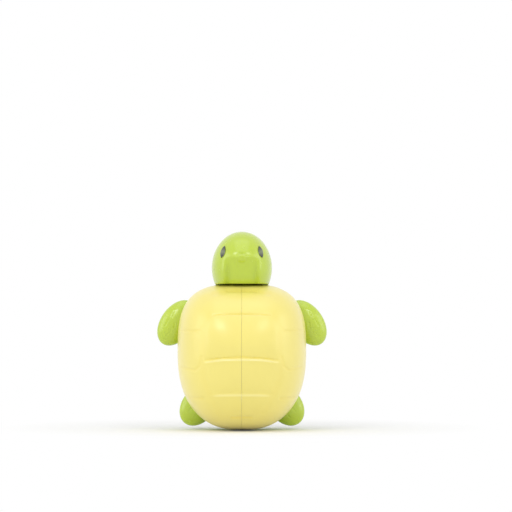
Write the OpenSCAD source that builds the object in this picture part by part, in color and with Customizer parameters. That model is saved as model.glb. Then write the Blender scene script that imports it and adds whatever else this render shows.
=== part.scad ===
// Turtle toothbrush cover with two swinging shell doors and a suction cup
// Millimetres. The wall is the XZ plane, the front looks along -Y, up is +Z.

/* [Shell] */
// Width of the closed shell across both doors
shell_w = 44; // [37:0.5:56]
// Height of the closed shell
shell_h = 50; // [41.5:0.5:62]
// Depth of the shell dome in front of the hinge axes
dome_d = 27; // [22:0.5:34]
// Wall thickness of the doors
wall = 1.8; // [1.4:0.1:2.4]
// Gap between the two doors along the middle seam
seam = 0.2; // [0.2:0.05:0.8]
// Depth of the grooves between the shell plates
groove_d = 0.45; // [0.2:0.05:0.7]
// Half width of a plate groove
groove_r = 0.75; // [0.5:0.05:1.2]
// Width of the slot for the brush neck in the lower edge
slot_w = 6.8; // [5:0.1:9]
// Length of that slot in front of the hinge axes
slot_l = 9; // [6:0.5:11]

/* [Head and limbs] */
// Width of the head
head_w = 20.6; // [17:0.1:25]
// Height of the whole egg shape of the head
head_h = 24.9; // [21:0.1:30]
// Depth of the head from back to front
head_d = 26; // [22:0.5:30]
// Thickness of the front flippers
flipper_t = 7.4; // [5:0.1:9]
// Thickness of the hind flippers
hind_t = 7; // [5:0.1:9]
// Height of an eye
eye_h = 4.2; // [3:0.1:6]
// Width of an eye
eye_w = 1.9; // [1.4:0.1:3]

/* [Body] */
// Depth of the body from its back face to the hinge axes
body_d = 12.6; // [11.8:0.1:16]
// Wall thickness of the body
body_wall = 2; // [1.4:0.1:3]
// Thickness of the back cover
cover_t = 1.6; // [1.2:0.1:2.4]
// Height of the room for the stud of the cup behind the tray
stud_room = 2.4; // [2.2:0.1:3.5]
// Thickness of the floor of the inner tray
floor_t = 1.4; // [1.2:0.1:2]

/* [Mechanism] */
// Angle each door swings open
open_angle = 36; // [20:1:40]
// Module of the teeth
tooth_m = 0.8; // [0.7:0.05:0.9]
// Number of teeth a full wheel would have
tooth_n = 17; // [15:1:18]
// Width of the toothed parts along the hinge
tooth_w = 4; // [3:0.5:6]
// Distance of a hinge axis inside the widest point of the shell
hinge_in = 6; // [5.6:0.1:7.5]
// Diameter of the hinge pins
pin_d = 2; // [1.6:0.1:2.4]
// Diameter of the hinge barrels
barrel_d = 4.6; // [4.2:0.1:5]
// Lower end of the hinge barrels measured from the middle of the shell
barrel_low = -6; // [-7:0.5:-4]
// Upper end of the hinge barrels measured from the middle of the shell
barrel_top = 11; // [9:0.5:12]

/* [Suction cup] */
// Diameter of the suction cup
cup_d = 36; // [28:1:40]
// Distance from the wall to the back of the body
cup_h = 8; // [6.5:0.1:11]
// Diameter of the neck of the cup stud
stud_d = 7; // [5:0.1:8]

/* [Fits] */
// Radial play of a barrel on its pin
run_fit = 0.05; // [0.02:0.01:0.1]
// Radial play of a pin or screw in the part that holds it
hold_fit = 0.02; // [0.01:0.01:0.05]
// Gap between parts that move past each other
move_gap = 0.3; // [0.25:0.05:0.6]
// Gap between fixed parts set into one another
set_gap = 0.15; // [0.05:0.05:0.3]
// Play between meshing teeth measured on the pitch line
backlash = 0.2; // [0.1:0.02:0.4]

/* [Hidden] */
$fn = 64;
hx = shell_w / 2;
sk = shell_h / 50;
y0 = 0.04 * shell_h;
ht = shell_h / 2 - y0;
hb = shell_h / 2 + y0;
n_top = 3.1;
n_low = 2.4;
n_dome = 2.3;
ybot = y0 - hb * 0.9995;
ytop = y0 + ht * 0.9995;
hinge_x = hx - hinge_in;
bar_low = barrel_low * sk;
bar_top = barrel_top * sk;
back_f = cup_h;
hinge_f = cup_h + body_d;
roll_a = 50;
skirt = 0.8;
rim_f = hinge_f - skirt * sin(roll_a) - move_gap;
cover_f = back_f + cover_t;
floor_f = cover_f + stud_room;
tray_f = floor_f + floor_t;
deck_t = 1.6;
pitch_r = tooth_m * tooth_n / 2;
travel = pitch_r * open_angle * PI / 180;
rack_x = hinge_x - pitch_r;
tooth_y = (bar_low + bar_top) / 2;
base_r = pitch_r * cos(20);
tip_r = pitch_r + 0.9 * tooth_m;
root_r = pitch_r - 1.2 * tooth_m;
tooth_p = PI * tooth_m;
plate_f = hinge_f - 2.4;
plate_t = 1.6;
cheek_x = rack_x - 1.2 * tooth_m - 1.5;
rack_low = tray_f + 0.3;
rack_top = hinge_f + 2.5;
lug_t = 2.6;
head_y = shell_h / 2 + 0.218 * head_h;
head_f = back_f + 0.5 + head_d / 2;
head_wall = 1.8;
neck_y = shell_h / 2 + 0.3;
split_f = back_f + 4.5;
screw_d = 2;
screw_hd = 3.8;
screw_ht = 1.2;
screw_y1 = y0 + ht - 6.5;
screw_y2 = y0 - hb + 7.25;
screw_x1 = 0.223 * shell_w;
screw_x2 = 0.19 * shell_w;
flange_f = hinge_f + 9.4;
flange_t = 1.6;
door_screw_x = hinge_x - 2.2;
door_screw_y = [bar_low + 3, bar_top - 3];
window_low = bar_low - lug_t - 2.9;
window_top = bar_top + lug_t + 2.7;

green = [0.69, 0.83, 0.29];
green_dark = [0.62, 0.77, 0.24];
yellow = [0.97, 0.91, 0.56];
white = [0.93, 0.93, 0.9];
steel = [0.72, 0.73, 0.75];

// Turns front view coordinates (x, up, distance from the wall) into the part frame
module stand() {
  rotate([90, 0, 0]) children();
}

// Extrudes an (x, distance) profile upward from ya to yb
module rise_from(ya, yb) {
  translate([0, yb, 0]) rotate([90, 0, 0]) linear_extrude(height = yb - ya) children();
}

// Screw thread hole or pin along the distance axis
module rod(x, y, d, fa, fb) {
  translate([x, y, fa]) cylinder(d = d, h = fb - fa);
}

// Round bar along the upward axis
module bar(x, f, d, ya, yb) {
  translate([x, yb, f]) rotate([90, 0, 0]) cylinder(d = d, h = yb - ya);
}

// Shell outline: half width at a height, with an inward offset g
function up_n(y) = y >= y0 ? n_top : n_low;
function up_u(y, g) = y >= y0 ? (y - y0) / (ht - g) : (y0 - y) / (hb - g);
function half(y, g = 0) = (hx - g) * pow(max(0, 1 - pow(min(1, up_u(y, g)), up_n(y))), 1 / up_n(y));

// Dome height over the hinge plane
function dome_r(x, y, g) = let (n = up_n(y))
  pow(pow(abs(x) / (hx - g), n) + pow(min(1, up_u(y, g)), n), 1 / n);
function dome(x, y, g = 0) = (dome_d - g) * pow(max(0, 1 - pow(dome_r(x, y, g), n_dome)), 1 / n_dome);

// Distance from a point to a line piece
function seg_t(p, a, b) = max(0, min(1, ((p - a) * (b - a)) / ((b - a) * (b - a))));
function seg_d(p, a, b) = norm(p - a - (b - a) * seg_t(p, a, b));

// Groove lines of the shell plates in the right half, with share of the depth and of the half width
function line(x1, y1, x2, y2, w, r = 1) = [[x1 * hx / 22, y1 * sk], [x2 * hx / 22, y2 * sk], w, r];
lines = [
  line(10.6, 14.9, 13, 10.2, 0.2, 2),
  line(13, 10.2, 12.9, 0.4, 0.2, 2),
  line(13.2, 0.2, 12.9, -6.5, 0.2, 2),
  line(12.9, -6.5, 10.8, -12.1, 0.2, 2),
  line(10.8, -12.1, 7.5, -18, 0.15, 2),
  line(0, -20, 3.2, -20, 0.5),
  line(14.2, 9.3, 20.4, 9.3, 0.45),
  line(13.4, 0.6, 14.2, -2.6, 0.35, 1.5),
  line(14.2, -2.6, 15.8, -4, 0.4, 1.2),
  line(15.8, -4, 20.2, -4, 0.45),
  line(13, -13.6, 17.4, -13.6, 0.4),
  line(0, 22.9, 5, 22.8, 0.6, 1.3),
  line(5, 22.8, 9.6, 21.8, 0.4, 1.6)
];
function bump(t) = t >= 1 ? 0 : pow(1 - t * t, 2);
function line_g(p, i) = lines[i][2] * bump(seg_d(p, lines[i][0], lines[i][1]) / (groove_r * lines[i][3]));
// Steps across the middle plates, a soft valley above a raised lip:
// height, half length, depth of the valley, its reach and the lip, depths as shares
steps = [[14.9, 10.8, 0.7, 3.2, 0.25], [0, 13.6, 1.6, 5.5, 0.4], [-12.1, 11, 0.65, 3.2, 0.25]];
function lip_y(x, q) = sk * (q[0] - 0.4 * pow(min(1, x * 22 / (hx * q[1])), 2));
function lip_in(x, q) = bump(max(0, x * 22 / (hx * q[1]) - 0.7) / 0.3);
function one_step(x, q, d) = lip_in(x, q)
  * (d >= 0 ? q[2] * pow(max(0, 1 - d / q[3]), 2) : -q[4] * max(0, 1 + d / 0.9) * min(1, -d / 0.3));
function step_g(x, y) = let (g = [for (q = steps) one_step(x, q, (y - lip_y(x, q)) / sk)]) g[0] + g[1] + g[2];
function groove(x, y) = groove_d * (max([for (i = [0:len(lines) - 1]) line_g([x, y], i)]) + step_g(x, y));

// Rows of the door mesh, closer together beside the groove lines
marks = [-20 * sk, -13.6 * sk, -12.1 * sk, -4 * sk, 0, 9.3 * sk, 14.9 * sk, 22.9 * sk];
edge = 0.5;
function fill(a, b) = let (n = max(1, ceil((b - a - 2 * edge) / 1.7)))
  concat([a], [for (i = [0:n]) a + edge + (b - a - 2 * edge) * i / n]);
low_a = asin((y0 - marks[0]) / hb);
end_a = asin(pow(1 - pow((slot_w / 2 + 0.5) / hx, n_low), 1 / n_low));
top_a = asin((marks[7] - y0) / ht);
rows = concat(
  [for (i = [0:7]) y0 - hb * sin(end_a + (low_a - end_a) * i / 8)],
  [for (k = [0:6]) each fill(marks[k], marks[k + 1])],
  [for (i = [0:6]) y0 + ht * sin(top_a + (88.2 - top_a) * i / 6)]
);

out_n = 30;
in_n = 13;
roll_n = 3;
slot_r = slot_w / 2;
slot_end = slot_l - slot_r;
function over(y) = max(half(y) - hinge_x, 0);
function in_slot(y) = y < ybot + wall + 3;
// Height of the round end of the neck slot over the hinge plane
function slot_top(x) = slot_end + sqrt(max(0, slot_r * slot_r - x * x));
// Where a row of the outer face starts: at the seam, or where the neck slot cuts it
function cross_x(y, a, b, n) = n == 0 ? (a + b) / 2
  : let (m = (a + b) / 2) dome(m, y) > slot_top(m) ? cross_x(y, a, m, n - 1) : cross_x(y, m, b, n - 1);
function start_x(y) = !in_slot(y) || dome(seam / 2, y) > slot_top(seam / 2) ? seam / 2
  : dome(slot_r, y) < slot_end ? slot_r : cross_x(y, seam / 2, slot_r, 16);
function out_pt(y, j) = let (
    a = start_x(y),
    x = a + (half(y) - a) * pow(sin(90 * j / out_n), 0.87),
    f = dome(x, y),
    n = [x / (hx * hx), (y - y0) / (hb * hb), f / (dome_d * dome_d)],
    p = [x, y, hinge_f + f] - groove(x, y) * n / norm(n)
  ) [max(p[0], seam / 2), p[1], p[2]];
function roll_pt(y, a) = [half(y) - over(y) * (1 - cos(a)), y, hinge_f - max(over(y), skirt) * sin(a)];
function roll_in(y, a) = let (
    r = max(over(y) - wall, 0),
    b = min(1, max(0, (over(y) - 2.4) / 1.6))
  ) [half(y, wall) - r * (1 - cos(a)), y, hinge_f - (b * r + (1 - b) * skirt) * sin(a)];
function hollow(y) = y < y0 + (ht - wall) * 0.998 && y > y0 - (hb - wall) * 0.998;
// Inner face of a row, from the rolled edge back to the seam; four points follow the slot
function floor_z(x, y) = hinge_f + (hollow(y) ? dome(x, y, wall) : -skirt * sin(roll_a));
function in_pt(y, j) = let (
    s = in_slot(y),
    b = s ? slot_r + 0.02 : seam / 2,
    w = hollow(y) ? half(y, wall) : half(y),
    t = s ? sin(90 * (j - 4) / (in_n - 4)) : pow(sin(90 * j / in_n), 0.87),
    x = b + (w - b) * t
  ) [x, y, floor_z(x, y)];
function slot_pt(y, j) = let (
    a = start_x(y),
    low = floor_z(slot_r, y),
    top = hinge_f + dome(slot_r, y),
    t = (4 - j - (a > seam / 2 + 0.001 ? 0.6 : 1)) / 3,
    q = acos(min(1, a / slot_r)) * t,
    x = slot_r * cos(q)
  ) a > slot_r - 0.001 ? [slot_r, y, low + (top - low) * (4 - j) / 5]
  : [x, y, max(floor_z(x, y), hinge_f + slot_top(x))];
function inner(y) = concat(
  [for (k = [roll_n:-1:1]) roll_in(y, roll_a * k / roll_n)],
  [for (j = [in_n:-1:(in_slot(y) ? 4 : 0)]) in_pt(y, j)],
  in_slot(y) ? [for (j = [3:-1:0]) slot_pt(y, j)] : []
);
in_count = roll_n + 1 + in_n;
function flat_pt(y, t) = let (e = roll_pt(y, roll_a)) [e[0] + (seam / 2 - e[0]) * t, y, e[2]];
function low_flat(y) = let (e = roll_pt(y, roll_a), n = in_count - 4) concat(
  [for (i = [1:n]) [e[0] + (slot_r + 0.02 - e[0]) * i / n, y, e[2]]],
  [for (j = [3:-1:0]) slot_pt(y, j)]
);
function ring(y) = concat(
  [for (j = [0:out_n]) out_pt(y, j)],
  [for (k = [1:roll_n]) roll_pt(y, roll_a * k / roll_n)],
  hollow(y) ? inner(y) : in_slot(y) ? low_flat(y) : [for (i = [1:in_count]) flat_pt(y, i / in_count)]
);

// Faces between two neighbouring rings, and the strip that closes the end of a door
function sides(m, n) = [for (i = [0:m - 2]) for (j = [0:n - 1]) each [
  [i * n + j, (i + 1) * n + j, (i + 1) * n + (j + 1) % n],
  [i * n + j, (i + 1) * n + (j + 1) % n, i * n + (j + 1) % n]
]];
function turn(t, flip) = flip ? [t[2], t[1], t[0]] : t;
function strip_step(i, n, k, oa, ob) = concat(
  [[i + oa, i + oa + 1, i + n - 1 - k], [i + oa + 1, i + n - 2 - k, i + n - 1 - k]],
  [for (q = [oa + 1:1:ob - 1]) [i + q, i + q + 1, i + n - 2 - k]]
);
function strip(i, n, flip) = let (c = in_count - 1, o = n - in_count - 1)
  [for (k = [0:c - 1]) each
    [for (t = strip_step(i, n, k, floor(k * o / c), floor((k + 1) * o / c))) turn(t, flip)]];

// Solid through a stack of convex rings with equal point counts
module loft(rings) {
  n = len(rings[0]);
  m = len(rings);
  polyhedron(
    points = [for (r = rings) each r],
    faces = concat([[for (j = [0:n - 1]) j]], sides(m, n), [[for (j = [n - 1:-1:0]) (m - 1) * n + j]]),
    convexity = 4
  );
}

module door_mesh(rings) {
  n = len(rings[0]);
  m = len(rings);
  polyhedron(
    points = [for (r = rings) each r],
    faces = concat(strip(0, n, false), sides(m, n), strip((m - 1) * n, n, true)),
    convexity = 8
  );
}

module door_bosses() {
  for (y = door_screw_y) {
    top = hinge_f + dome(door_screw_x + 2.3, y, wall) + 0.9;
    difference() {
      rod(door_screw_x, y, 4.6, flange_f + flange_t, top);
      rod(door_screw_x, y, screw_d + 2 * hold_fit, flange_f, flange_f + flange_t + 6.5);
    }
  }
}

module right_door_shape() {
  door_mesh([for (y = rows) ring(y)]);
  door_bosses();
}

module right_door() {
  color(yellow) stand() right_door_shape();
}

module left_door() {
  color(yellow) stand() mirror([1, 0, 0]) right_door_shape();
}

// Involute half angle of a tooth at radius r
function inv(a) = tan(a) * 180 / PI - a;
function tooth_half(r) = 90 / tooth_n - backlash / (4 * pitch_r) * 180 / PI
  + inv(20) - inv(acos(min(1, base_r / r)));
flank = [for (i = [0:5]) base_r + (tip_r - base_r) * i / 5];
function polar(r, a) = [r * cos(a), r * sin(a)];
module tooth() {
  polygon(concat(
    [polar(root_r - 0.5, -tooth_half(base_r))],
    [for (r = flank) polar(r, -tooth_half(r))],
    [for (i = [5:-1:0]) polar(flank[i], tooth_half(flank[i]))],
    [polar(root_r - 0.5, tooth_half(base_r))]
  ));
}

// Toothed lever: barrel, three teeth, arm and flange for the door
module right_lever_shape() {
  low = tooth_y - tooth_w / 2;
  difference() {
    union() {
      bar(hinge_x, hinge_f, barrel_d, bar_low, bar_top);
      rise_from(low, low + tooth_w) {
        translate([hinge_x, hinge_f]) {
          for (i = [-1:3]) rotate(180 + (i - 0.5) * 360 / tooth_n) tooth();
          intersection() {
            circle(r = root_r);
            polygon([[0, 0], polar(9, 180 - 38), polar(9, 180), polar(9, 180 + 45), polar(9, 180 + 66)]);
          }
        }
      }
      rise_from(bar_low, bar_top) {
        translate([hinge_x - 0.8, hinge_f + 1.2]) square([1.6, flange_f + flange_t - hinge_f - 1.2]);
      }
      rise_from(bar_low, bar_top) {
        translate([door_screw_x - 2.6, flange_f]) square([3.4 + hinge_x - door_screw_x, flange_t]);
      }
      for (y = [bar_low, tooth_y - 0.8, bar_top - 1.6]) {
        rise_from(y, y + 1.6) {
          polygon([[hinge_x, flange_f - 4.5], [door_screw_x - 0.6, flange_f + 0.2], [hinge_x, flange_f + 0.2]]);
        }
      }
    }
    bar(hinge_x, hinge_f, pin_d + 2 * run_fit, bar_low - 1, bar_top + 1);
    for (y = door_screw_y) {
      rod(door_screw_x, y, screw_d + 2 * hold_fit, flange_f - 1, flange_f + flange_t + 1);
      rod(door_screw_x, y, screw_hd + 0.8, flange_f - 6, flange_f);
    }
  }
}

module right_lever() {
  color(white) stand() right_lever_shape();
}

module left_lever() {
  color(white) stand() mirror([1, 0, 0]) right_lever_shape();
}

// Pan head screw pointing forward, its head behind the face at f
module screw(x, y, f, l) {
  rod(x, y, screw_d, f - 0.01, f + l - 0.6);
  translate([x, y, f + l - 0.6]) cylinder(d1 = screw_d, d2 = 0.8, h = 0.6);
  difference() {
    intersection() {
      rod(x, y, screw_hd, f - screw_ht, f);
      translate([x, y, f + 1.9]) sphere(r = 3.2);
    }
    translate([x - 0.25, y - 1.1, f - screw_ht - 0.1]) cube([0.5, 2.2, 0.8]);
    translate([x - 1.1, y - 0.25, f - screw_ht - 0.1]) cube([2.2, 0.5, 0.8]);
  }
}

module lever_screws() {
  for (y = door_screw_y) screw(door_screw_x, y, flange_f, 7);
}

module right_lever_screws() {
  color(steel) stand() lever_screws();
}

module left_lever_screws() {
  color(steel) stand() mirror([1, 0, 0]) lever_screws();
}

// Body outline, drawn in under the rolled edge of the doors
function ax(t, r, n) = r * sign(cos(t)) * pow(abs(cos(t)), 2 / n);
function ay(t, r, n) = y0 + r * sign(sin(t)) * pow(abs(sin(t)), 2 / n);
function tuck(x) = x - sign(x) * (1 - cos(roll_a)) * max(abs(x) - hinge_x, 0);
function rim_pt(t, g) = let (n = sin(t) >= 0 ? n_top : n_low, h = sin(t) >= 0 ? ht : hb)
  [tuck(ax(t, hx, n)) * (hx - g) / hx, ay(t, h - g, n)];
function rim(g, m = 96) = [for (i = [0:m - 1]) rim_pt(360 * (i + 0.5) / m, g)];
function rim_at(g, f) = [for (p = rim(g)) [p[0], p[1], f]];

// Room swept by the rolled edge of a door about its hinge axis
module door_sweep() {
  ys = [for (y = [ybot:1:ytop]) if (half(y) > hinge_x - 0.4) y];
  rs = [for (y = ys) norm([max(half(y0 + 0.965 * (y - y0)) - hinge_x, 0.4), skirt * sin(roll_a)]) + move_gap];
  n = len(ys) - 1;
  translate([hinge_x, 0, hinge_f]) rotate([-90, 0, 0]) rotate_extrude()
    polygon(concat([[0, ys[0]]], [for (i = [0:n]) [rs[i], ys[i]]], [[0, ys[n]]]));
}

module egg(g) {
  translate([0, head_y, head_f])
    scale([head_w / 2 - g, head_h / 2 - g, head_d / 2 - g]) sphere(r = 1, $fn = 96);
}

module snout(g) {
  translate([0, head_y + 0.136 * head_h, head_f + 0.437 * head_d])
    scale([0.13 * head_w - g, 0.082 * head_h - g, 0.064 * head_d - g]) sphere(r = 1, $fn = 96);
}

module slab(ya, yb, fa, fb, w = 120) {
  translate([-w / 2, ya, fa]) cube([w, yb - ya, fb - fa]);
}

flipper_f = back_f + 0.3 + flipper_t / 2;
module front_flipper(g) {
  translate([1.02 * hx, 0.23 * shell_h, flipper_f]) rotate([0, 0, 34.7])
    scale([5.62 - g, 8.73 - g, flipper_t / 2 - g]) sphere(r = 1, $fn = 96);
}

module hind_flipper(g) {
  translate([0.674 * hx, -0.335 * shell_h, back_f + 0.3 + hind_t / 2]) rotate([0, 0, -51.5])
    scale([8 - g, 5.76 - g, hind_t / 2 - g]) sphere(r = 1, $fn = 96);
}

module both() {
  children();
  mirror([1, 0, 0]) children();
}

// Screw places of the back cover: four in the body
module at_screws() {
  for (s = [-1, 1]) {
    translate([s * screw_x1, screw_y1, 0]) children();
    translate([s * screw_x2, screw_y2, 0]) children();
  }
}

module body() {
  color(green) stand() {
    difference() {
      union() {
        loft([rim_at(1.9, back_f), rim_at(0.9, back_f + 0.4), rim_at(0.4, back_f + 1.3),
          rim_at(set_gap, back_f + 3), rim_at(set_gap, rim_f)]);
        both() difference() {
          union() {
            front_flipper(0);
            hind_flipper(0);
          }
          slab(-60, 60, 0, back_f + 1.2);
          intersection() {
            union() {
              front_flipper(1.6);
              hind_flipper(1.6);
            }
            slab(-60, 60, 0, flipper_f + 1);
          }
        }
        intersection() {
          egg(0);
          union() {
            slab(12, 80, 0, split_f);
            slab(12, neck_y, 0, rim_f);
          }
        }
      }
      translate([0, 0, back_f - 2])
        linear_extrude(height = rim_f - deck_t - back_f + 2) polygon(rim(body_wall + 0.6));
      intersection() {
        translate([0, 0, back_f]) linear_extrude(height = 40) polygon(rim(body_wall + 0.6));
        slab(window_low, window_top, back_f, 60);
      }
      both() door_sweep();
      intersection() {
        egg(head_wall);
        slab(neck_y + 1.6, 80, 0, 80);
      }
      rod(0, head_y + 2, screw_d + 0.5, back_f - 2, split_f + 5);
      rod(0, head_y + 2, screw_hd + 0.6, back_f - 2, back_f + 2.4);
      bar(0, hinge_f, slot_w + 0.4, -60, window_low + 2);
      for (s = [-1, 1]) bar(s * 8, cover_f + 0.4, 1.8, -60, screw_y2);
    }
    difference() {
      union() {
        at_screws() rod(0, 0, 4.6, tray_f, rim_f - deck_t + 0.2);
        rod(0, head_y + 2, 5.6, back_f + 2.4, split_f);
      }
      at_screws() rod(0, 0, screw_d + 2 * hold_fit, tray_f - 1, rim_f - 0.8);
      rod(0, head_y + 2, screw_d + 0.5, back_f - 2, split_f + 5);
    }
  }
}

module head() {
  color(green) stand() difference() {
    union() {
      difference() {
        union() {
          egg(0);
          snout(0);
        }
        slab(-60, neck_y, 0, rim_f);
        translate([0, 0, rim_f - 0.01]) linear_extrude(height = 60) polygon(rim(-move_gap - 0.05));
        slab(-60, 80, 0, split_f);
        intersection() {
          egg(head_wall);
          slab(neck_y + 1.6, 80, 0, 80);
        }
        mouth();
        both() eye_shape(set_gap / 3, 0.5, 3);
      }
      intersection() {
        egg(0.5);
        rod(0, head_y + 2, 5.6, split_f, head_f + head_d / 2);
      }
    }
    rod(0, head_y + 2, screw_d + 2 * hold_fit, split_f - 1, split_f + 8);
  }
}

// Brow line over the beak, cut into the face
module mouth() {
  intersection() {
    difference() {
      egg(-2);
      egg(0.3);
      snout(0);
    }
    translate([0, 0, head_f]) linear_extrude(height = 30) {
      intersection() {
        translate([0, head_y - 3.7]) difference() {
          circle(r = 8.8);
          circle(r = 8.3);
        }
        translate([-4.2, head_y + 3]) square([8.4, 4]);
      }
    }
  }
}

// Leaf shaped eye following the egg, from depth below to height above the face
module eye_shape(grow, below, above) {
  intersection() {
    difference() {
      egg(-above);
      egg(below);
    }
    translate([0.626 * head_w / 2, head_y + 0.223 * head_h, head_f]) rotate(16)
      linear_extrude(height = 30) intersection() {
        r = (eye_h * eye_h + eye_w * eye_w) / (4 * eye_w);
        translate([r - eye_w / 2, 0]) circle(r = r + grow);
        translate([eye_w / 2 - r, 0]) circle(r = r + grow);
      }
  }
}

module right_eye() {
  color([0.27, 0.29, 0.28]) stand() eye_shape(0, 0.4, 0.2);
}

module left_eye() {
  color([0.27, 0.29, 0.28]) stand() mirror([1, 0, 0]) eye_shape(0, 0.4, 0.2);
}

module back_cover() {
  color(green_dark) stand() difference() {
    union() {
      translate([0, 0, back_f]) linear_extrude(height = cover_t) polygon(rim(body_wall + 0.6 + set_gap));
      at_screws() rod(0, 0, 5, back_f, floor_f);
    }
    at_screws() {
      rod(0, 0, screw_d + 0.4, back_f - 1, floor_f + 1);
      rod(0, 0, screw_hd + 0.4, back_f - 1, back_f + screw_ht + 0.1);
    }
    rod(0, 0, stud_d + 0.4, back_f - 1, cover_f + 1);
    rod(0, -9.5, stud_d + 5, back_f - 1, cover_f + 1);
    translate([-stud_d / 2 - 0.2, -9.5, back_f - 1]) cube([stud_d + 0.4, 9.5, cover_t + 2]);
    for (x = [-6:4:6]) hull() {
      translate([x, 12.5, back_f - 1]) cylinder(d = 1.6, h = 4, $fn = 24);
      translate([x, 16, back_f - 1]) cylinder(d = 1.6, h = 4, $fn = 24);
    }
  }
}

module cover_screws() {
  color(steel) stand() {
    at_screws() screw(0, 0, back_f + screw_ht + 0.1, 8.6);
    screw(0, head_y + 2, back_f + 2.4, 8);
  }
}

// White tray with the hinge lugs and the guide posts
module inner_tray() {
  color(white) stand() {
    difference() {
      union() {
        translate([0, 0, floor_f]) linear_extrude(height = floor_t) polygon(rim(body_wall + 0.6 + set_gap));
        both() {
          lug(bar_low - 0.2 - lug_t);
          lug(bar_top + 0.2);
          guide_post(bar_low - 1.2 - 2.4, 1);
          guide_post(bar_top + 1.2, -1);
        }
      }
      at_screws() rod(0, 0, screw_d + 0.4, floor_f - 1, tray_f + 1);
      both() bar(hinge_x, hinge_f, pin_d + 2 * hold_fit, bar_low - lug_t - 1, bar_top + lug_t + 1);
      for (y = [screw_y2 + 3.2, screw_y1 - 4]) for (x = [-3:3:3]) rod(x, y, 1.6, floor_f - 1, tray_f + 1);
    }
    at_screws() difference() {
      rod(0, 0, 4.6, floor_f, tray_f);
      rod(0, 0, screw_d + 0.4, floor_f - 1, tray_f + 1);
    }
  }
}

module lug(y) {
  rise_from(y, y + lug_t) {
    translate([hinge_x, hinge_f]) circle(d = barrel_d);
    translate([hinge_x - barrel_d / 2 - 0.9, tray_f - 0.2]) square([barrel_d / 2 + 0.8, hinge_f - tray_f + 0.2]);
  }
}

// Post with a fin that guides the end of a cradle cheek, dir tells where the cradle lies
module guide_post(y, dir) {
  top = hinge_f + 1.8;
  translate([cheek_x, y, tray_f - 0.2]) cube([1.6, 2.4, top - tray_f + 0.2]);
  fin_y = dir > 0 ? y + 2.3 : y - 0.9;
  translate([cheek_x + 0.4, fin_y, tray_f - 0.2]) cube([0.8, 1, top - tray_f + 0.2]);
}

module hinge_pins() {
  color(steel) stand() both() bar(hinge_x, hinge_f, pin_d, bar_low - lug_t - 0.2, bar_top + lug_t + 0.2);
}

// Sliding cradle: plate behind the brush head, two cheeks with racks
module cradle() {
  ya = bar_low - 0.9;
  yb = bar_top + 0.9;
  low = tooth_y - tooth_w / 2 - 0.4;
  color(white) stand() difference() {
    union() {
      slab(ya + 1.4, yb - 1.4, plate_f, plate_f + plate_t, 2 * cheek_x + 1);
      both() {
        translate([cheek_x, ya, rack_low + 0.4]) cube([1.6, yb - ya, rack_top - rack_low - 1.2]);
        rack(low, low + tooth_w + 0.8);
        for (y = [ya + 2.6, tooth_y, yb - 2.6]) rise_from(y - 0.6, y + 0.6)
          polygon([[cheek_x + 0.2, rack_low + 0.6], [cheek_x - 2.6, plate_f + 0.2], [cheek_x + 0.2, plate_f + 0.2]]);
      }
      for (y = [ya + 3.5:3:yb - 3.4])
        translate([-4.4, y - 0.4, plate_f + plate_t - 0.1]) cube([8.8, 0.8, 0.4]);
    }
    both() {
      translate([cheek_x + 0.3, ya - 1, rack_low - 1]) cube([1, 2, rack_top - rack_low + 3]);
      translate([cheek_x + 0.3, yb - 1, rack_low - 1]) cube([1, 2, rack_top - rack_low + 3]);
    }
  }
}

module rack(ya, yb) {
  half_t = tooth_p / 4 - backlash / 4;
  k = tan(20);
  out = 0.8 * tooth_m;
  in = 1.15 * tooth_m;
  rise_from(ya, yb) intersection() {
    union() {
      translate([cheek_x, rack_low]) square([rack_x - in - cheek_x, rack_top - rack_low]);
      for (i = [-3:2]) translate([rack_x, hinge_f + (i + 0) * tooth_p])
        polygon([[-in - 0.1, -half_t - k * in], [out, -half_t + k * out], [out, half_t - k * out], [-in - 0.1, half_t + k * in]]);
    }
    translate([0, rack_low]) square([40, rack_top - rack_low]);
  }
}

// Soft cup with a mushroom stud
function cup_out(t) = let (r = cup_d / 2) [stud_d / 2 + (r - stud_d / 2) * pow(sin(t), 0.8), 0.9 + (cup_h - 2.4) * (1 - pow(sin(t), 2.2))];
function cup_in(t) = let (r = cup_d / 2 - 1.8) [r * pow(sin(t), 0.9), (cup_h - 4.4) * (1 - pow(sin(t), 2))];
module suction_cup() {
  r = cup_d / 2;
  color([0.86, 0.88, 0.88]) stand() {
    rotate_extrude($fn = 96) polygon(concat(
      [[0, cup_h - 4.4]],
      [for (t = [15:15:90]) cup_in(t)],
      [[r - 0.3, 0], [r, 0.35]],
      [for (t = [90:-10:0]) cup_out(t)],
      [[stud_d / 2, cover_f + 0.1], [stud_d / 2 + 1.9, cover_f + 0.3], [stud_d / 2 + 1.4, cover_f + 1.7],
        [stud_d / 2 - 0.6, cover_f + 2.1], [0, cover_f + 2.1]]
    ));
    difference() {
      union() {
        translate([-4, -r - 2, 0.2]) cube([8, 3.2, 1]);
        rod(0, -r - 2, 8, 0.2, 1.2);
      }
      rod(0, 0, cup_d - 1.6, 0, 3);
    }
  }
}

body();
head();
left_eye();
right_eye();
back_cover();
cover_screws();
inner_tray();
hinge_pins();
cradle();
left_lever();
right_lever();
left_door();
right_door();
left_lever_screws();
right_lever_screws();
suction_cup();
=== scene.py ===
import bpy
import bmesh
import math
from mathutils import Matrix, Vector


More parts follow.
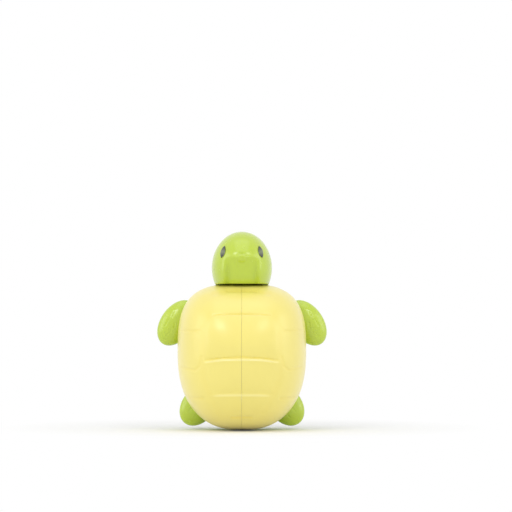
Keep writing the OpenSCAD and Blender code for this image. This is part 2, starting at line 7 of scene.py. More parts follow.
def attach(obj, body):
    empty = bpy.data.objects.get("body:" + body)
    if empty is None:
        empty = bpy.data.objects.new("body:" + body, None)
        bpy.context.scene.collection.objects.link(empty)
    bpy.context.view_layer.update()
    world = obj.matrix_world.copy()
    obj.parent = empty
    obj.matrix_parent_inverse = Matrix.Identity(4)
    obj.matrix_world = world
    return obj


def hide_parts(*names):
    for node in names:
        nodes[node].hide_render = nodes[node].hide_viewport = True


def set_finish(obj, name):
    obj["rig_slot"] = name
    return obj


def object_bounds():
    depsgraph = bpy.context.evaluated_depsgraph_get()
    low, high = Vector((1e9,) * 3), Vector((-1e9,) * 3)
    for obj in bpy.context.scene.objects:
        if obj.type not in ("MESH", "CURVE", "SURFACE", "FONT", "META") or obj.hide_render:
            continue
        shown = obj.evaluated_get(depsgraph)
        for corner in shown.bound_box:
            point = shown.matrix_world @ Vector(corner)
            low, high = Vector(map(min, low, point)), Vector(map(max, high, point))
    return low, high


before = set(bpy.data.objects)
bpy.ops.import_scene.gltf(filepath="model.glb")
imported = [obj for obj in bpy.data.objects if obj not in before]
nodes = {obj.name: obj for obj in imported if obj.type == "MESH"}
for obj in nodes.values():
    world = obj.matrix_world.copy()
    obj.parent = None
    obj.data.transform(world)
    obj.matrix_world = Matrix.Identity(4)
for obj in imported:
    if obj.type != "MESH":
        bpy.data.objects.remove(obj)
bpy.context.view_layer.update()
mm = 0.001
print("frame loaded:", len(nodes), "CAD nodes")

# Shell in millimetres: x across, z up, f forward of the wall; the left door is a mirror
shell = {
    "halfWidth": 22.0,
    "middle": 2.0,
    "upper": 23.0,
    "lower": 27.0,
    "dome": 27.0,
    "upperPower": 3.1,
    "lowerPower": 2.4,
    "domePower": 2.3,
    "wall": 1.8,
    "seam": 0.06,
    "hingeX": 16.0,
    "hingeF": 20.6,
    "rollAngle": 50.0,
    "skirt": 0.8,
    "slotWidth": 6.8,
    "slotLength": 9.0,
    "slotBelow": -20,
    "slotMargin": 0.5,
    "grooveDepth": 0.45,
    "grooveWidth": 0.75,
    "stepTop": 0.3,
    "stepFoot": 0.5,
    "stepFade": (0.7, 0.3),
    "lipReach": 2.2,
    "lipHighlightFade": (0.6, 0.4),
    "lipHighlightMiddle": 0.3,
    "lipHighlightWidth": 0.55,
    "rows": 150,
    "columns": 92,
    "columnPower": 0.9,
    "topAngle": 88.2,
    "rollColumns": 9,
    "bossX": 13.8,
    "bossHeights": (-3.0, 8.0),
    "bossFrom": 31.6,
    "bossRadius": 2.3,
    "bossBore": 1.02,
    "bossBoreDepth": 6.5,
    "bossSink": 1.1,
    "bossSides": 40,
    "sharpAngle": 40,
}

# Plate grooves of the right half: two ends, share of the depth, share of the half width
grooveLines = [
    (10.6, 14.9, 13, 10.2, 0.16, 2.2),
    (13, 10.2, 12.9, 0.4, 0.16, 2.2),
    (13.2, 0.2, 12.9, -6.5, 0.16, 2.2),
    (12.9, -6.5, 10.8, -12.1, 0.16, 2.2),
    (10.8, -12.1, 7.5, -18, 0.12, 2.2),
    (0, -20, 3.2, -20, 0.45, 1.0),
    (14.2, 9.3, 20.4, 9.3, 0.3, 1.0),
    (12.6, 11.4, 15.2, 8.6, 0.22, 0.9),
    (13.4, 0.6, 14.2, -2.6, 0.28, 1.4),
    (14.2, -2.6, 15.8, -4, 0.3, 1.1),
    (15.8, -4, 20.2, -3.2, 0.3, 1.0),
    (13, -13.6, 17.4, -13.6, 0.3, 1.0),
    (0, 15.1, 9.8, 14.7, 0.48, 0.65),
    (0, 0.5, 12.2, -0.4, 0.3, 0.6),
    (0, 22.9, 5, 22.8, 0.6, 1.5),
    (5, 22.8, 9.6, 21.8, 0.4, 1.8),
    (9.6, 21.8, 13.5, 19.4, 0.15, 2.4),
]

# Steps across the middle plates: height, half length, valley depth and reach, lip, drop of ends
plateSteps = [
    (14.9, 10.8, 0.7, 3.2, 0.08, 0.5),
    (0, 13.2, 1.7, 6.0, 0.5, 1.3),
    (-12.1, 11, 0.65, 3.2, 0.25, 0.4),
]


# Outline and dome of the shell
def power(z):
    return shell["upperPower"] if z >= shell["middle"] else shell["lowerPower"]


def share(z):
    reach = shell["upper"] if z >= shell["middle"] else shell["lower"]
    return min(1.0, abs(z - shell["middle"]) / reach)


def halfAt(z):
    n = power(z)
    return shell["halfWidth"] * max(0.0, 1 - share(z) ** n) ** (1 / n)


def domeAt(x, z):
    n, m = power(z), shell["domePower"]
    r = ((abs(x) / shell["halfWidth"]) ** n + share(z) ** n) ** (1 / n)
    return shell["dome"] * max(0.0, 1 - r ** m) ** (1 / m)


# Smooth fall from one at 0 to nothing at 1
def bump(t):
    return 0.0 if t >= 1 else (1 - t * t) ** 2


def fadeOut(t, start, reach):
    return bump(max(0.0, t - start) / reach)


def lineDistance(x, z, line):
    ax, az, bx, bz = line[:4]
    dx, dz = bx - ax, bz - az
    t = max(0.0, min(1.0, ((x - ax) * dx + (z - az) * dz) / (dx * dx + dz * dz)))
    return math.hypot(x - ax - dx * t, z - az - dz * t)


def aboveStep(x, z, step):
    return z - step[0] + step[5] * min(1.0, x / step[1]) ** 3


def stepAt(x, z, step):
    reachX, valley, reachZ, lip = step[1:5]
    top, foot = shell["stepTop"], shell["stepFoot"]
    d = aboveStep(x, z, step)
    fade = fadeOut(x / reachX, *shell["stepFade"])
    if d >= top:
        return fade * valley * max(0.0, 1 - (d - top) / reachZ) ** 2
    if d <= -foot:
        return -fade * lip * max(0.0, 1 + (d + foot) / shell["lipReach"]) ** 2
    t = (d + foot) / (top + foot)
    return fade * ((valley + lip) * t * t * (3 - 2 * t) - lip)


# Rounded upper edge of a lower plate, painted paler as a highlight
def paintedLipHighlightAt(x, z):
    most = 0.0
    for step in plateSteps:
        across = fadeOut(x / step[1], *shell["lipHighlightFade"])
        along = bump(abs(aboveStep(x, z, step) + shell["lipHighlightMiddle"]) / shell["lipHighlightWidth"])
        most = max(most, across * along * min(1.0, step[4] * 2))
    return most


# Depth of the grooves and steps; the share of the groove lines is also the mask of the painted
# shade in the grooves
def grooveAt(x, z):
    w = shell["grooveWidth"]
    lines = max(g[4] * bump(lineDistance(x, z, g) / (w * g[5])) for g in grooveLines)
    steps = sum(stepAt(x, z, step) for step in plateSteps)
    return shell["grooveDepth"] * (lines + steps), lines


# The neck slot cuts the lower edge of both doors
def slotTop(x):
    r = shell["slotWidth"] / 2
    return shell["slotLength"] - r + math.sqrt(max(0.0, r * r - x * x))


# Start of a row; for the slot's round end the halving runs to the seam or to the slot's side
def startAt(z):
    seam, r = shell["seam"] / 2, shell["slotWidth"] / 2
    if z > shell["slotBelow"] or domeAt(seam, z) > slotTop(seam):
        return seam
    if domeAt(r, z) < shell["slotLength"] - r:
        return r
    low, high = seam, r
    for _ in range(24):
        mid = (low + high) / 2
        low, high = (low, mid) if domeAt(mid, z) <= slotTop(mid) else (mid, high)
    return (low + high) / 2


def outerPoint(z, t):
    a = startAt(z)
    x = a + (halfAt(z) - a) * math.sin(math.pi / 2 * t) ** shell["columnPower"]
    f = domeAt(x, z)
    n = Vector((x / shell["halfWidth"] ** 2, (z - shell["middle"]) / shell["lower"] ** 2,
                f / shell["dome"] ** 2))
    # The second value is the mask of the painted shade in the grooves
    g, line = grooveAt(x, z)
    p = Vector((x, z, shell["hingeF"] + f)) - n.normalized() * g
    # The third value is the painted highlight along the plate lips
    return Vector((max(p.x, shell["seam"] / 2), -p.z, p.y)) * mm, line, paintedLipHighlightAt(x, z)


# The outer edge rolls back around the hinge pin
def rollPoint(z, angle):
    over = max(halfAt(z) - shell["hingeX"], 0.0)
    drop = max(over, shell["skirt"]) * math.sin(angle)
    return Vector((halfAt(z) - over * (1 - math.cos(angle)), drop - shell["hingeF"], z)) * mm


def rollDrop():
    return shell["skirt"] * math.sin(math.radians(shell["rollAngle"]))


def toMesh(bm, name):
    mesh = bpy.data.meshes.new(name)
    bm.to_mesh(mesh)
    bm.free()
    return mesh


def link(mesh, name, body, slotName, replaced):
    piece = bpy.data.objects.new(name, mesh)
    bpy.context.scene.collection.objects.link(piece)
    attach(piece, body)
    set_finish(piece, slotName)
    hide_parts(*replaced)
    return piece


def finishShading(bm, degrees):
    limit = math.radians(degrees)
    for face in bm.faces:
        face.smooth = True
    for edge in bm.edges:
        if len(edge.link_faces) == 2:
            edge.smooth = edge.calc_face_angle(0.0) < limit


# Screw boss between the lever's flange and the dome
def addBoss(bm, z):
    x, r, middle = shell["bossX"], shell["bossRadius"], shell["bossFrom"] + 1
    place = Matrix.Translation((x * mm, -middle * mm, z * mm))
    place = place @ Matrix.Rotation(math.pi / 2, 4, "X")
    new = bmesh.ops.create_cone(bm, cap_ends=True, segments=shell["bossSides"], radius1=r * mm,
                                radius2=r * mm, depth=2 * mm, matrix=place)["verts"]
    for v in new:
        if v.co.y < -middle * mm:
            f = shell["hingeF"] + domeAt(v.co.x / mm, v.co.z / mm) - shell["bossSink"]
            v.co.y = -f * mm
    faces = {face for v in new for face in v.link_faces}
    mouth = max(faces, key=lambda face: face.calc_center_median().y)
    bmesh.ops.recalc_face_normals(bm, faces=list(faces))
    bmesh.ops.inset_region(bm, faces=[mouth], thickness=(r - shell["bossBore"]) * mm)
    floor = bmesh.ops.extrude_discrete_faces(bm, faces=[mouth])["faces"][0]
    bmesh.ops.translate(bm, verts=floor.verts[:], vec=(0, -shell["bossBoreDepth"] * mm, 0))


# Row heights from the side of the slot up to the top; the first and last come twice
def rowHeights():
    rows, n = shell["rows"], shell["lowerPower"]
    side = (shell["slotWidth"] / 2 + shell["slotMargin"]) / shell["halfWidth"]
    lowEnd = math.asin((1 - side ** n) ** (1 / n))
    topEnd = math.radians(shell["topAngle"])
    heights = [shell["middle"] - shell["lower"] * math.sin(lowEnd * (1 - i / rows))
               for i in range(rows)]
    heights += [shell["middle"] + shell["upper"] * math.sin(topEnd * i / rows)
                for i in range(rows + 1)]
    return [heights[0]] + heights + [heights[-1]]


def makeDoorMesh():
    columns, rolls, heights = shell["columns"], shell["rollColumns"], rowHeights()
    across, up = columns + rolls, len(heights) - 1
    bm = bmesh.new()
    # Vertex attributes for painted shade along the groove lines and painted highlight along the
    # plate lips
    depth = bm.verts.layers.float.new("groove")
    edge = bm.verts.layers.float.new("lip")
    bmesh.ops.create_grid(bm, x_segments=across, y_segments=up, size=0.5)
    bottom = -(shell["hingeF"] - rollDrop()) * mm
    for v in bm.verts:
        i = round((v.co.x + 0.5) * across)
        j = round((v.co.y + 0.5) * up)
        z = heights[j]
        if i <= columns:
            v.co, v[depth], v[edge] = outerPoint(z, i / columns)
        else:
            v.co = rollPoint(z, math.radians(shell["rollAngle"]) * (i - columns) / rolls)
        if j in (0, up):
            v.co.y = bottom
    bmesh.ops.remove_doubles(bm, verts=bm.verts[:], dist=0.0000002)
    bmesh.ops.recalc_face_normals(bm, faces=bm.faces[:])
    front = max(bm.faces, key=lambda face: -face.calc_center_median().y)
    if front.normal.y > 0:
        bmesh.ops.reverse_faces(bm, faces=bm.faces[:])
    bmesh.ops.solidify(bm, geom=bm.faces[:], thickness=shell["wall"] * mm)
    for z in shell["bossHeights"]:
        addBoss(bm, z)
    finishShading(bm, shell["sharpAngle"])
    return toMesh(bm, "rightDoorShell")


def toMirror(mesh, name):
    other = mesh.copy()
    other.name = name
    other.transform(Matrix.Scale(-1, 4, (1, 0, 0)))
    other.flip_normals()
    return other


rightDoorMesh = makeDoorMesh()
leftDoorMesh = toMirror(rightDoorMesh, "leftDoorShell")
rightDoor = link(rightDoorMesh, "rightDoorShell", "right_wing", "yellow_plastic", ["right_door"])
leftDoor = link(leftDoorMesh, "leftDoorShell", "left_wing", "yellow_plastic", ["left_door"])
print("doors made:", len(rightDoorMesh.polygons), "faces each")

# Flippers of the CAD body, and the ends of the short shallow marks pressed into them
limbs = {
    "front": {"x": 22.44, "z": 11.5, "f": 12.0, "radii": (5.62, 8.73, 3.7), "tilt": 34.7},
    "hind": {"x": 14.828, "z": -16.75, "f": 11.8, "radii": (8.0, 5.76, 3.5), "tilt": -51.5},
    "cuts": 1,
    "sharpAngle": 30,
    "marks": [
        (23.4, 15.2, 23.9, 13.8),
        (25.0, 12.8, 26.5, 10.4),
        (23.1, 11.6, 23.3, 10.0),
        (24.6, 9.6, 24.3, 8.6),
        (25.3, 8.0, 26.2, 7.0),
        (17.4, -17.6, 18.3, -18.9),
        (15.7, -20.2, 16.4, -20.9),
    ],
    "markWidth": 0.42,
    "markDepth": 0.09,
    "markFine": 1.8,
    "unmarked": 9.0,
}


# Splits the faces that lie on an ellipsoid of a CAD copy, and rounds the new points
def refineOn(bm, centre, radii, tilt, cuts, near=None):
    turn = Matrix.Rotation(math.radians(tilt), 3, "Y")
    back = turn.transposed()
    centre = Vector(centre)

    def reach(co):
        p = back @ (co - centre)
        return math.sqrt((p.x / radii[0]) ** 2 + (p.y / radii[1]) ** 2 + (p.z / radii[2]) ** 2)

    on = {v for v in bm.verts
          if abs(reach(v.co) - 1) < 0.002 and (near is None or near(v.co))}
    edges = [e for e in bm.edges if e.verts[0] in on and e.verts[1] in on
             and any(all(v in on for v in f.verts) for f in e.link_faces)]
    done = bmesh.ops.subdivide_edges(bm, edges=edges, cuts=cuts, use_grid_fill=True)
    for v in {g for g in done["geom_inner"] if isinstance(g, bmesh.types.BMVert)}:
        k = reach(v.co)
        if abs(k - 1) < 0.05:
            v.co = centre + (v.co - centre) / k


# Distance to the nearest mark in mark widths, for the front side of the flippers only
def markAt(co):
    near = min(lineDistance(abs(co.x) / mm, co.z / mm, mark) for mark in limbs["marks"])
    inFront = -co.y > limbs["hind"]["f"] * mm
    return near / limbs["markWidth"] if inFront else limbs["unmarked"]


def pressMarks(bm, rounds):
    for centre, radii, tilt, _ in rounds:
        refineOn(bm, centre, radii, tilt, 1, lambda co: markAt(co) < limbs["markFine"])
    bm.normal_update()
    for v in bm.verts:
        v.co -= v.normal * limbs["markDepth"] * bump(markAt(v.co)) * mm


def copyNode(node, name, body, slotName, sharp=35, rounds=(), marked=()):
    bm = bmesh.new()
    bm.from_mesh(nodes[node].data)
    bmesh.ops.remove_doubles(bm, verts=bm.verts[:], dist=0.000002)
    for centre, radii, tilt, cuts in rounds:
        refineOn(bm, centre, radii, tilt, cuts)
    if marked:
        pressMarks(bm, marked)
    finishShading(bm, sharp)
    return link(toMesh(bm, name), name, body, slotName, [node])


def limbRounds():
    found = []
    for limb in (limbs["front"], limbs["hind"]):
        r = limb["radii"]
        radii = (r[0] * mm, r[2] * mm, r[1] * mm)
        for side in (1, -1):
            centre = (side * limb["x"] * mm, -limb["f"] * mm, limb["z"] * mm)
            found.append((centre, radii, -side * limb["tilt"], limbs["cuts"]))
    return found


# Head: an egg with a beak, a brow line and a throat, cut where it meets body and doors
head = {
    "halfWidth": 10.3,
    "halfHeight": 12.45,
    "halfDepth": 13.0,
    "middle": 30.43,
    "forward": 21.5,
    "neck": 25.3,
    "neckBelow": 1.6,
    "split": 12.5,
    "neckGap": 0.13,
    "rimGap": 0.3,
    "openAngle": 36.0,
    "throatTop": 34.3,
    "throatReach": 6.5,
    "throatSide": (4.4, 6.2),
    "throatDepth": 2.1,
    "beakMiddle": 33.8,
    "beakWidth": 1.9,
    "beakHeight": 1.5,
    "beakRise": 0.42,
    "browRadius": 8.6,
    "browMiddle": 26.85,
    "browReach": 4.6,
    "browDepth": 0.2,
    "browWidth": 0.4,
    "sides": 192,
    "rings": 128,
    "sharpAngle": 50,
}
headCentre = (0, -head["forward"] * mm, head["middle"] * mm)
headRadii = (head["halfWidth"] * mm, head["halfDepth"] * mm, head["halfHeight"] * mm)
body = copyNode("body", "turtleBody", "base", "green_plastic", limbs["sharpAngle"],
                limbRounds() + [(headCentre, headRadii, 0, limbs["cuts"])], limbRounds())
print("body copied:", len(body.data.polygons), "faces")


# Height that the swinging doors reach at x, which the chin stays above
def topEdge(x):
    n = shell["upperPower"]
    cosine = math.cos(math.radians(head["openAngle"]))
    inside = shell["hingeX"] - min(abs(x), shell["hingeX"])
    x = max(0.0, shell["hingeX"] - inside / cosine)
    return shell["middle"] + shell["upper"] * (1 - (x / shell["halfWidth"]) ** n) ** (1 / n)


# How far the throat lies back from the round of the head
def throatAt(x, z):
    inner, outer = head["throatSide"]
    side = max(0.0, min(1.0, (outer - abs(x)) / (outer - inner)))
    down = max(0.0, min(1.0, (head["throatTop"] - z) / head["throatReach"]))
    return head["throatDepth"] * side * side * (3 - 2 * side) * down * (2 - down)


def beakAt(x, z):
    ring = math.hypot(x / head["beakWidth"], (z - head["beakMiddle"]) / head["beakHeight"])
    return head["beakRise"] * max(0.0, 1 - ring ** 4)


def browAt(x, z):
    away = abs(math.hypot(x, z - head["browMiddle"]) - head["browRadius"])
    fade = bump(abs(x) / head["browReach"]) if z > head["browMiddle"] else 0.0
    return head["browDepth"] * bump(away / head["browWidth"]) * fade


def cutAway(bm, point, normal):
    cut = bmesh.ops.bisect_plane(bm, geom=bm.verts[:] + bm.edges[:] + bm.faces[:], plane_co=point,
                                 plane_no=normal, clear_outer=True, dist=1e-7)
    rim = [g for g in cut["geom_cut"] if isinstance(g, bmesh.types.BMEdge)]
    bmesh.ops.holes_fill(bm, edges=rim)


def makeHeadMesh():
    bm = bmesh.new()
    bmesh.ops.create_uvsphere(bm, u_segments=head["sides"], v_segments=head["rings"], radius=1)
    for v in bm.verts:
        v.co = Vector(headCentre) + Vector([c * r for c, r in zip(v.co, headRadii)])
    bm.normal_update()
    for v in [v for v in bm.verts if v.co.y < headCentre[1]]:
        x, z = v.co.x / mm, v.co.z / mm
        v.co += v.normal * (beakAt(x, z) - browAt(x, z)) * mm
        v.co.y += throatAt(x, z) * mm
    cutAway(bm, (0, -head["split"] * mm, 0), (0, 1, 0))
    cutAway(bm, (0, 0, (head["neck"] - head["neckBelow"]) * mm), (0, 0, -1))
    bmesh.ops.triangulate(bm, faces=[face for face in bm.faces if len(face.verts) > 4])
    rimF = shell["hingeF"] - rollDrop() - head["rimGap"]
    for v in bm.verts:
        x, z, f = v.co.x / mm, v.co.z / mm, -v.co.y / mm
        low = head["neck"] if f < rimF else topEdge(x) + head["neckGap"]
        v.co.z = max(z, low) * mm
    finishShading(bm, head["sharpAngle"])
    return toMesh(bm, "turtleHead")


turtleHead = link(makeHeadMesh(), "turtleHead", "base", "green_plastic", ["head"])

# Eyes of the CAD, made narrower across their lean; the slope keeps them on the head
eye = {
    "x": 6.45,
    "z": 35.98,
    "lean": 16.0,
    "narrow": 0.8,
    "slope": 1.24,
    "rise": 0.2,
    "cuts": 2,
    "sharpAngle": 40,
}
eyeRounds = [(headCentre, tuple(r + eye["rise"] * mm for r in headRadii), 0, eye["cuts"])]
leftEye, rightEye = [copyNode(node, piece, "base", "eye_plastic", eye["sharpAngle"], eyeRounds)
                     for node, piece in (("left_eye", "leftEye"), ("right_eye", "rightEye"))]
for piece, side in ((leftEye, -1), (rightEye, 1)):
    lean = math.radians(side * eye["lean"])
    across = Vector((math.cos(lean), 0, math.sin(lean)))
    middle = Vector((side * eye["x"] * mm, 0, eye["z"] * mm))
    for v in piece.data.vertices:
        old = v.co.copy()
        v.co -= across * across.dot(v.co - middle) * (1 - eye["narrow"])
        v.co.y = old.y + (v.co.x - old.x) * side * eye["slope"]
print("head and eyes made")

plain = [copyNode(node, piece, bodyName, slotName) for node, piece, bodyName, slotName in (
    ("back_cover", "backCover", "base", "green_plastic"),
    ("inner_tray", "innerTray", "base", "white_plastic"),
    ("cradle", "brushCradle", "slider", "white_plastic"),
    ("left_lever", "leftLever", "left_wing", "white_plastic"),
    ("right_lever", "rightLever", "right_wing", "white_plastic"),
    ("cover_screws", "coverScrews", "base", "steel"),
    ("hinge_pins", "hingePins", "base", "steel"),
    ("left_lever_screws", "leftLeverScrews", "left_wing", "steel"),
    ("right_lever_screws", "rightLeverScrews", "right_wing", "steel"),
    ("suction_cup", "suctionCup", "base", "soft_pvc"),
)]
print("inner pieces copied")


def srgb(r, g, b):
    def one(c):
        c /= 255
        return c / 12.92 if c <= 0.04045 else ((c + 0.055) / 1.055) ** 2.4
    return (one(r), one(g), one(b), 1.0)


def shaded(colour, k):
    return tuple(min(1.0, c * k) for c in colour[:3]) + (1.0,)


def newMaterial(name):
    material = bpy.data.materials.new(name)
    material.use_nodes = True
    tree = material.node_tree
    return material, tree, tree.nodes["Principled BSDF"]


def noise(tree, scale, detail, mapping=None):
    coords = tree.nodes.new("ShaderNodeTexCoord")
    texture = tree.nodes.new("ShaderNodeTexNoise")
    texture.inputs["Scale"].default_value = scale
    texture.inputs["Detail"].default_value = detail
    source = coords.outputs["Object"]
    if mapping:
        place = tree.nodes.new("ShaderNodeMapping")
        place.inputs["Scale"].default_value = mapping
        tree.links.new(source, place.inputs["Vector"])
        source = place.outputs["Vector"]
    tree.links.new(source, texture.inputs["Vector"])
    return texture.outputs["Fac"]


def attribute(tree, name):
    node = tree.nodes.new("ShaderNodeAttribute")
    node.attribute_name = name
    return node.outputs["Fac"]


# The second value is a number or another node's output
def maths(tree, operation, first, second=None):
    node = tree.nodes.new("ShaderNodeMath")
    node.operation = operation
    tree.links.new(first, node.inputs[0])
    if isinstance(second, float):
        node.inputs[1].default_value = second
    elif second is not None:
        tree.links.new(second, node.inputs[1])
    return node.outputs["Value"]


def mixColour(tree, factor, first, second):
    mix = tree.nodes.new("ShaderNodeMix")
    mix.data_type = "RGBA"
    tree.links.new(factor, mix.inputs["Factor"])
    for socket, value in ((mix.inputs[6], first), (mix.inputs[7], second)):
        if isinstance(value, tuple):
            socket.default_value = value
        else:
            tree.links.new(value, socket)
    return mix.outputs[2]


def mapRange(tree, source, low, high, toLow, toHigh):
    node = tree.nodes.new("ShaderNodeMapRange")
    for name, value in (("From Min", low), ("From Max", high),
                        ("To Min", toLow), ("To Max", toHigh)):
        node.inputs[name].default_value = value
    tree.links.new(source, node.inputs["Value"])
    return node.outputs["Result"]


# Noise between 0.3 and 0.7 spreads the roughness over its two values
def setRoughness(tree, shader, source, roughness):
    tree.links.new(mapRange(tree, source, 0.3, 0.7, *roughness), shader.inputs["Roughness"])


def addBump(tree, shader, height, strength, distance=0.00002):
    node = tree.nodes.new("ShaderNodeBump")
    node.inputs["Strength"].default_value = strength
    node.inputs["Distance"].default_value = distance
    tree.links.new(height, node.inputs["Height"])
    tree.links.new(node.outputs["Normal"], shader.inputs["Normal"])


# Hard plastics; the painted shade in the grooves and the painted highlight on the lips follow the
# attributes of the doors
finishes = {
    "greenPlastic": {
        "colour": srgb(187, 209, 58),
        "roughness": (0.2, 0.28),
        "coat": 0.35,
        "coatRoughness": 0.08,
        "drift": 0.04,
        "driftScale": 90,
        "grain": 0.05,
        "grainScale": 2600,
    },
    "shellPlastic": {
        "colour": srgb(241, 226, 122),
        "roughness": (0.3, 0.4),
        "coat": 0.5,
        "coatRoughness": 0.28,
        "drift": 0.03,
        "driftScale": 70,
        "grain": 0.12,
        "grainScale": 3200,
        # Painted shade: darker, warmer colour in the grooves
        "grooveTint": srgb(238, 216, 96),
        "grooveRange": (0.02, 0.5),
        "grooveMost": 0.45,
        # Painted highlight: paler colour along the plate lips
        "lipPaintedHighlightColour": srgb(250, 242, 178),
        "lipPaintedHighlightMost": 0.75,
    },
    "whitePlastic": {
        "colour": srgb(236, 236, 230),
        "roughness": (0.4, 0.5),
        "coat": 0.05,
        "coatRoughness": 0.3,
        "drift": 0.02,
        "driftScale": 150,
        "grain": 0.15,
        "grainScale": 2800,
    },
}
everyPlastic = {"wearScale": 420, "ior": 1.56}


def plastic(name, look):
    material, tree, shader = newMaterial(name)
    drift = noise(tree, look["driftScale"], 3)
    base = mixColour(tree, drift, shaded(look["colour"], 1 - look["drift"]),
                     shaded(look["colour"], 1 + look["drift"]))
    if "grooveTint" in look:
        # Painted shade in the grooves, from the door attribute
        groove = mapRange(tree, attribute(tree, "groove"), *look["grooveRange"],
                          0.0, look["grooveMost"])
        base = mixColour(tree, groove, base, look["grooveTint"])
        # Painted highlight along the plate lips, from the door attribute
        lip = mapRange(tree, attribute(tree, "lip"), 0.0, 1.0, 0.0, look["lipPaintedHighlightMost"])
        base = mixColour(tree, lip, base, look["lipPaintedHighlightColour"])
    tree.links.new(base, shader.inputs["Base Color"])
    setRoughness(tree, shader, noise(tree, everyPlastic["wearScale"], 4), look["roughness"])
    shader.inputs["Coat Weight"].default_value = look["coat"]
    shader.inputs["Coat Roughness"].default_value = look["coatRoughness"]
    shader.inputs["IOR"].default_value = everyPlastic["ior"]
    addBump(tree, shader, noise(tree, look["grainScale"], 2), look["grain"])
    return material


# An eye is paler along its middle height, a painted reflection
eyeLook = {
    "ends": srgb(44, 50, 36),
    # The middle colour is a painted reflection
    "middle": srgb(112, 120, 88),
    "paintedReflectionRange": (0.0002, 0.0014),
    "coat": 0.5,
    "coatRoughness": 0.05,
    "wearScale": 900,
    "roughness": (0.12, 0.2),
}


def eyeMaterial():
    material, tree, shader = newMaterial("eyePlastic")
    coords = tree.nodes.new("ShaderNodeTexCoord")
    parts = tree.nodes.new("ShaderNodeSeparateXYZ")
    tree.links.new(coords.outputs["Object"], parts.inputs["Vector"])
    away = maths(tree, "SUBTRACT", parts.outputs["Z"], eye["z"] * mm)
    paintedReflection = mapRange(tree, maths(tree, "ABSOLUTE", away), *eyeLook["paintedReflectionRange"], 1.0, 0.0)
    colour = mixColour(tree, paintedReflection, eyeLook["ends"], eyeLook["middle"])
    tree.links.new(colour, shader.inputs["Base Color"])
    shader.inputs["Coat Weight"].default_value = eyeLook["coat"]
    shader.inputs["Coat Roughness"].default_value = eyeLook["coatRoughness"]
    setRoughness(tree, shader, noise(tree, eyeLook["wearScale"], 2), eyeLook["roughness"])
    return material


steelLook = {
    "streakScale": 900,
    "streakStretch": (1, 1, 0.06),
    "dark": srgb(176, 178, 182),
    "light": srgb(205, 206, 210),
    "roughness": (0.22, 0.36),
    "grain": 0.1,
}


def steelMaterial():
    material, tree, shader = newMaterial("brushedSteel")
    streaks = noise(tree, steelLook["streakScale"], 3, steelLook["streakStretch"])
    colour = mixColour(tree, streaks, steelLook["dark"], steelLook["light"])
    tree.links.new(colour, shader.inputs["Base Color"])
    shader.inputs["Metallic"].default_value = 1.0
    setRoughness(tree, shader, streaks, steelLook["roughness"])
    addBump(tree, shader, streaks, steelLook["grain"])
    return material


cupLook = {
    "hazeScale": 160,
    "dark": srgb(232, 238, 238),
    "light": srgb(244, 247, 247),
    "roughness": (0.1, 0.2),
    "transmission": 0.82,
    "ior": 1.45,
    "coat": 0.2,
    "grain": 0.05,
    "grainScale": 700,
    "grainHeight": 0.00003,
}


def softPvcMaterial():
    material, tree, shader = newMaterial("softPvc")
    haze = noise(tree, cupLook["hazeScale"], 3)
    colour = mixColour(tree, haze, cupLook["dark"], cupLook["light"])
    tree.links.new(colour, shader.inputs["Base Color"])
    setRoughness(tree, shader, haze, cupLook["roughness"])
    shader.inputs["Transmission Weight"].default_value = cupLook["transmission"]
    shader.inputs["IOR"].default_value = cupLook["ior"]
    shader.inputs["Coat Weight"].default_value = cupLook["coat"]
    grain = noise(tree, cupLook["grainScale"], 2)
    addBump(tree, shader, grain, cupLook["grain"], cupLook["grainHeight"])
    return material


made = {name: plastic(name, look) for name, look in finishes.items()}
bySlot = {
    "green_plastic": made["greenPlastic"],
    "yellow_plastic": made["shellPlastic"],
    "white_plastic": made["whitePlastic"],
    "eye_plastic": eyeMaterial(),
    "steel": steelMaterial(),
    "soft_pvc": softPvcMaterial(),
}
for piece in [rightDoor, leftDoor, body, turtleHead, leftEye, rightEye] + plain:
    piece.data.materials.clear()
    piece.data.materials.append(bySlot[piece["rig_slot"]])
print("materials made:", len(bySlot))

# Studio in metres; each lamp has a name, a place, a size and its watts
studio = {
    "floorDrop": 0.0003,
    "floorSize": 3.0,
    "floorColour": (0.93, 0.93, 0.92, 1.0),
    "floorRoughness": 0.9,
    "floorFade": (0.03, 0.09),
    "worldStrength": 0.64,
    "lamps": [
        ("keyLamp", (-0.48, -0.8, 0.64), (0.36, 0.36), 1.9),
        ("fillLamp", (0.48, -0.8, 0.64), (0.36, 0.36), 1.2),
        ("topPanel", (0.0, -0.2, 1.0), (0.9, 0.9), 1.9),
        ("leftPanel", (-0.85, -0.2, 0.15), (0.55, 0.9), 1.8),
        ("rightPanel", (0.85, -0.2, 0.15), (0.55, 0.9), 1.7),
    ],
    "aim": (0.0, -0.02, 0.01),
}

# Camera that shows the object at its size and place in the photograph, in pixels
view = {
    "photoSize": 512,
    "photoScale": 0.0003425,
    "photoCentre": (241.9, 356.85),
    "distance": 1.4,
    "sensor": 36,
    "clip": (0.01, 20),
}


# One for camera, glossy and transmission rays, which see the white background
def seenRay(tree):
    path = tree.nodes.new("ShaderNodeLightPath")
    total = path.outputs["Is Camera Ray"]
    for ray in ("Is Glossy Ray", "Is Transmission Ray"):
        total = maths(tree, "MAXIMUM", total, path.outputs[ray])
    return total


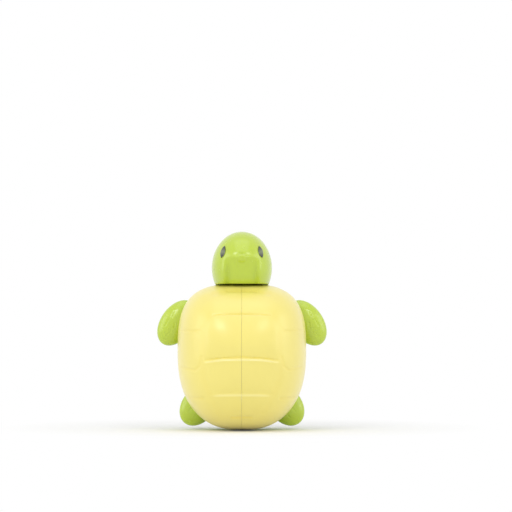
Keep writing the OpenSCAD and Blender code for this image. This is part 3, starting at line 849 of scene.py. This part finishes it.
def makeFloor():
    bm = bmesh.new()
    bmesh.ops.create_grid(bm, x_segments=1, y_segments=1, size=studio["floorSize"])
    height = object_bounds()[0].z - studio["floorDrop"]
    bmesh.ops.translate(bm, verts=bm.verts[:], vec=(0, 0, height))
    mesh = toMesh(bm, "studioFloor")
    floor = bpy.data.objects.new("studioFloor", mesh)
    bpy.context.scene.collection.objects.link(floor)
    material, tree, shader = newMaterial("floorPaint")
    shader.inputs["Roughness"].default_value = studio["floorRoughness"]
    shader.inputs["Base Color"].default_value = studio["floorColour"]
    coords = tree.nodes.new("ShaderNodeTexCoord")
    length = tree.nodes.new("ShaderNodeVectorMath")
    length.operation = "LENGTH"
    tree.links.new(coords.outputs["Object"], length.inputs[0])
    away = mapRange(tree, length.outputs["Value"], *studio["floorFade"], 0.0, 1.0)
    white = maths(tree, "MULTIPLY", away, seenRay(tree))
    glow = tree.nodes.new("ShaderNodeEmission")
    mix = tree.nodes.new("ShaderNodeMixShader")
    tree.links.new(white, mix.inputs["Fac"])
    tree.links.new(shader.outputs["BSDF"], mix.inputs[1])
    tree.links.new(glow.outputs["Emission"], mix.inputs[2])
    tree.links.new(mix.outputs["Shader"], tree.nodes["Material Output"].inputs["Surface"])
    mesh.materials.append(material)


def makeWorld():
    world = bpy.data.worlds.new("studioWorld")
    bpy.context.scene.world = world
    world.use_nodes = True
    tree = world.node_tree
    back = tree.nodes["Background"]
    strength = mapRange(tree, seenRay(tree), 0.0, 1.0, studio["worldStrength"], 1.0)
    tree.links.new(strength, back.inputs["Strength"])
    back.inputs["Color"].default_value = (1.0, 1.0, 1.0, 1.0)


def makeLamps():
    for name, place, size, watts in studio["lamps"]:
        lamp = bpy.data.lights.new(name, "AREA")
        lamp.shape = "RECTANGLE"
        lamp.size, lamp.size_y = size
        lamp.energy = watts
        holder = bpy.data.objects.new(name, lamp)
        holder.location = place
        holder.rotation_mode = "QUATERNION"
        ray = Vector(studio["aim"]) - Vector(place)
        holder.rotation_quaternion = ray.to_track_quat("-Z", "Y")
        bpy.context.scene.collection.objects.link(holder)


def makeCamera():
    scale, half = view["photoScale"], view["photoSize"] / 2
    centreX = (half - view["photoCentre"][0]) * scale
    centreZ = (view["photoCentre"][1] - half) * scale
    camera = bpy.data.cameras.new("photoCamera")
    camera.sensor_width = view["sensor"]
    camera.lens = view["sensor"] * view["distance"] / (view["photoSize"] * scale)
    camera.clip_start, camera.clip_end = view["clip"]
    holder = bpy.data.objects.new("photoCamera", camera)
    holder.location = (centreX, -shell["hingeF"] * mm - view["distance"], centreZ)
    holder.rotation_euler = (math.radians(90), 0, 0)
    bpy.context.scene.collection.objects.link(holder)
    bpy.context.scene.camera = holder


makeFloor()
makeWorld()
makeLamps()
makeCamera()
bpy.context.scene.view_settings.view_transform = "Standard"
print("studio set")
